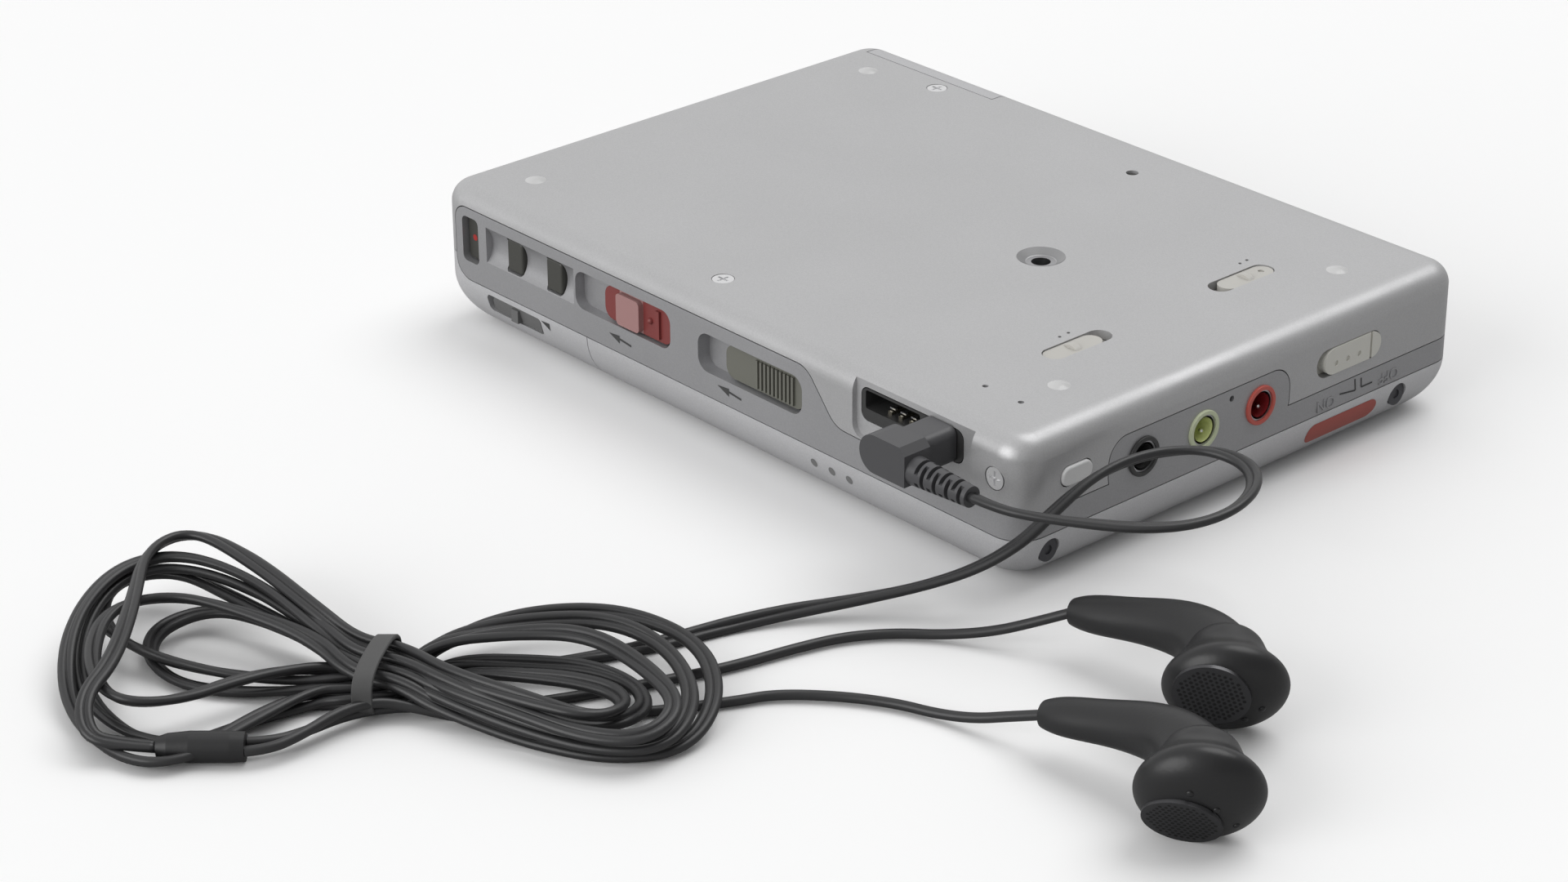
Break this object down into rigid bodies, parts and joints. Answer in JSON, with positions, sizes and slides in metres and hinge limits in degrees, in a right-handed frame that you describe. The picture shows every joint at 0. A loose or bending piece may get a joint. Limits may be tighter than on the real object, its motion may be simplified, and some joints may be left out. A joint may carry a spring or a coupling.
{
  "type": "portable minidisc recorder",
  "caption": "Portable minidisc recorder lying on its lid, with hinged disc lid, battery door, buttons, slide switches and jacks, and plugged-in earphones on a tied hank of cord.",
  "frame": {"origin": "middle of the underside, which is the face that carries the display and the disc lid; cord, plug and earphones left out", "axes": "+Z out of the base cover, which faces up in the picture; +X toward the side with the line and microphone jacks; -Y toward the side with the record and open slides and the headphone jack; +Y toward the lid's hinge; -X toward the battery"},
  "size_m": [0.1651, 0.1789, 0.0203],
  "materials": {
    "cover": "fine metallic satin",
    "trim": "satin",
    "lid": "fine metallic satin",
    "foot": "matt",
    "steel": "satin",
    "bright": "polished",
    "dark_screw": "satin",
    "cell": "satin",
    "frame_black": "matt",
    "brass": "satin",
    "window": "clear",
    "liquid_display": "gloss",
    "board": "satin",
    "button_dark": "satin",
    "rec_red": "satin",
    "open_olive": "satin",
    "knob_ivory": "satin",
    "knob_grey": "satin",
    "socket_black": "satin",
    "ring_green": "satin",
    "ring_red": "satin",
    "plug_grey": "satin",
    "gold": "polished",
    "damper": "matt",
    "bud": "satin",
    "cord": "satin",
    "tie": "matt"
  },
  "bodies": {
    "recorder": {"base_cover": "cover", "feet": "foot", "side_trim": "trim", "top_case_end": "lid", "hinge_pins": "steel", "battery": "cell", "battery_tray": "frame_black", "contacts": "brass", "display_window": "window", "display_panel": "liquid_display", "key_boards": "board", "threaded_insert": "steel", "case_screws": "bright", "side_jacks": "socket_black", "line_out_ring": "socket_black", "line_in_ring": "ring_green", "mic_ring": "ring_red", "remote_socket": "socket_black", "headphone_jack": "socket_black", "plug_body": "plug_grey", "plug_pin": "gold", "strain_relief": "plug_grey", "chassis": "steel", "dampers": "damper", "spindle_motor": "steel", "guide_shafts": "bright", "sled_motor": "steel", "main_board": "board", "earphone_left_shell": "bud", "earphone_right_shell": "bud", "earphone_grilles": "bud", "main_lead": "cord", "lead_hank": "cord", "left_lead": "cord", "right_lead": "cord", "tie_band": "tie", "cord_split": "bud"},
    "lid_body": {"lid": "lid", "lid_side_screws": "dark_screw"},
    "battery_door_body": {"battery_door": "cover"},
    "erase_button_body": {"erase_button": "button_dark"},
    "t_mark_button_body": {"t_mark_button": "button_dark"},
    "end_search_button_body": {"end_search_button": "button_dark"},
    "record_slide_body": {"record_slide": "rec_red"},
    "open_slide_body": {"open_slide": "open_olive"},
    "hold_slide_body": {"hold_slide": "knob_grey"},
    "avls_slide_body": {"avls_slide": "knob_grey"},
    "mic_sens_slide_body": {"mic_sens_slide": "knob_grey"},
    "synchro_slide_body": {"synchro_slide": "knob_ivory"},
    "bass_button_body": {"bass_button": "button_dark"},
    "clock_button_body": {"clock_button": "button_dark"},
    "play_key_body": {"play_key": "button_dark"},
    "back_key_body": {"back_key": "button_dark"},
    "forward_key_body": {"forward_key": "button_dark"},
    "turntable_body": {"turntable": "bright"},
    "sled_body": {"pickup_sled": "frame_black", "pickup_lens": "window"},
    "lead_screw_body": {"lead_screw": "bright"},
    "disc_holder_body": {"disc_holder": "steel"},
    "head_arm_body": {"head_arm": "steel"}
  },
  "joints": [
    {"name": "lid_hinge", "type": "hinge", "parent": "recorder", "child": "lid_body", "pos_m": [0.0153, 0.0378, 0.0056], "axis": [1, 0, 0], "range_deg": [0, 32]},
    {"name": "battery_door_hinge", "type": "hinge", "parent": "recorder", "child": "battery_door_body", "pos_m": [-0.0383, 0.0376, 0.004], "axis": [-1, 0, 0], "range_deg": [0, 80]},
    {"name": "erase_button_press", "type": "slide", "parent": "recorder", "child": "erase_button_body", "axis": [0, 1, 0], "range_m": [0, 0.00025], "stiffness_N_per_m": 600},
    {"name": "t_mark_button_press", "type": "slide", "parent": "recorder", "child": "t_mark_button_body", "axis": [0, 1, 0], "range_m": [0, 0.00025], "stiffness_N_per_m": 600},
    {"name": "end_search_button_press", "type": "slide", "parent": "recorder", "child": "end_search_button_body", "axis": [0, 1, 0], "range_m": [0, 0.00025], "stiffness_N_per_m": 600},
    {"name": "record_slide_travel", "type": "slide", "parent": "recorder", "child": "record_slide_body", "axis": [-1, 0, 0], "range_m": [0, 0.004], "stiffness_N_per_m": 150},
    {"name": "open_slide_travel", "type": "slide", "parent": "recorder", "child": "open_slide_body", "axis": [-1, 0, 0], "range_m": [0, 0.0035], "stiffness_N_per_m": 200},
    {"name": "hold_slide_travel", "type": "slide", "parent": "recorder", "child": "hold_slide_body", "axis": [-1, 0, 0], "range_m": [0, 0.0009]},
    {"name": "avls_slide_travel", "type": "slide", "parent": "recorder", "child": "avls_slide_body", "axis": [0, 1, 0], "range_m": [0, 0.0015]},
    {"name": "mic_sens_slide_travel", "type": "slide", "parent": "recorder", "child": "mic_sens_slide_body", "axis": [0, -1, 0], "range_m": [0, 0.0015]},
    {"name": "synchro_slide_travel", "type": "slide", "parent": "recorder", "child": "synchro_slide_body", "axis": [0, -1, 0], "range_m": [0, 0.0012]},
    {"name": "bass_button_press", "type": "slide", "parent": "recorder", "child": "bass_button_body", "axis": [-1, 0, 0], "range_m": [0, 0.0003], "stiffness_N_per_m": 600},
    {"name": "clock_button_press", "type": "slide", "parent": "recorder", "child": "clock_button_body", "axis": [0, 0, -1], "range_m": [0, 0.0003], "stiffness_N_per_m": 600},
    {"name": "play_key_press", "type": "slide", "parent": "recorder", "child": "play_key_body", "axis": [0, 0, 1], "range_m": [0, 0.0003], "stiffness_N_per_m": 600},
    {"name": "back_key_press", "type": "slide", "parent": "recorder", "child": "back_key_body", "axis": [0, 0, 1], "range_m": [0, 0.0003], "stiffness_N_per_m": 600},
    {"name": "forward_key_press", "type": "slide", "parent": "recorder", "child": "forward_key_body", "axis": [0, 0, 1], "range_m": [0, 0.0003], "stiffness_N_per_m": 600},
    {"name": "turntable_spin", "type": "hinge", "parent": "recorder", "child": "turntable_body", "pos_m": [0.0144, -0.0005, 0.0065], "axis": [0, 0, 1], "continuous": true},
    {"name": "sled_travel", "type": "slide", "parent": "recorder", "child": "sled_body", "axis": [-1, 0, 0], "range_m": [0, 0.0146]},
    {"name": "lead_screw_spin", "type": "hinge", "parent": "recorder", "child": "lead_screw_body", "pos_m": [0, -0.0165, 0.0116], "axis": [1, 0, 0], "range_deg": [0, 1757]},
    {"name": "holder_tilt", "type": "hinge", "parent": "recorder", "child": "disc_holder_body", "pos_m": [0.0144, 0.035, 0.006], "axis": [1, 0, 0], "range_deg": [0, 15]},
    {"name": "head_arm_tilt", "type": "hinge", "parent": "sled_body", "child": "head_arm_body", "pos_m": [-0.0001, 0.035, 0.006], "axis": [1, 0, 0], "range_deg": [0, 15]}
  ],
  "couplings": [
    {"joint": "holder_tilt", "follows": "lid_hinge", "ratio": 0.45},
    {"joint": "head_arm_tilt", "follows": "lid_hinge", "ratio": 0.45},
    {"joint": "lead_screw_spin", "follows": "sled_travel", "rad_per_m": 2094.4}
  ]
}
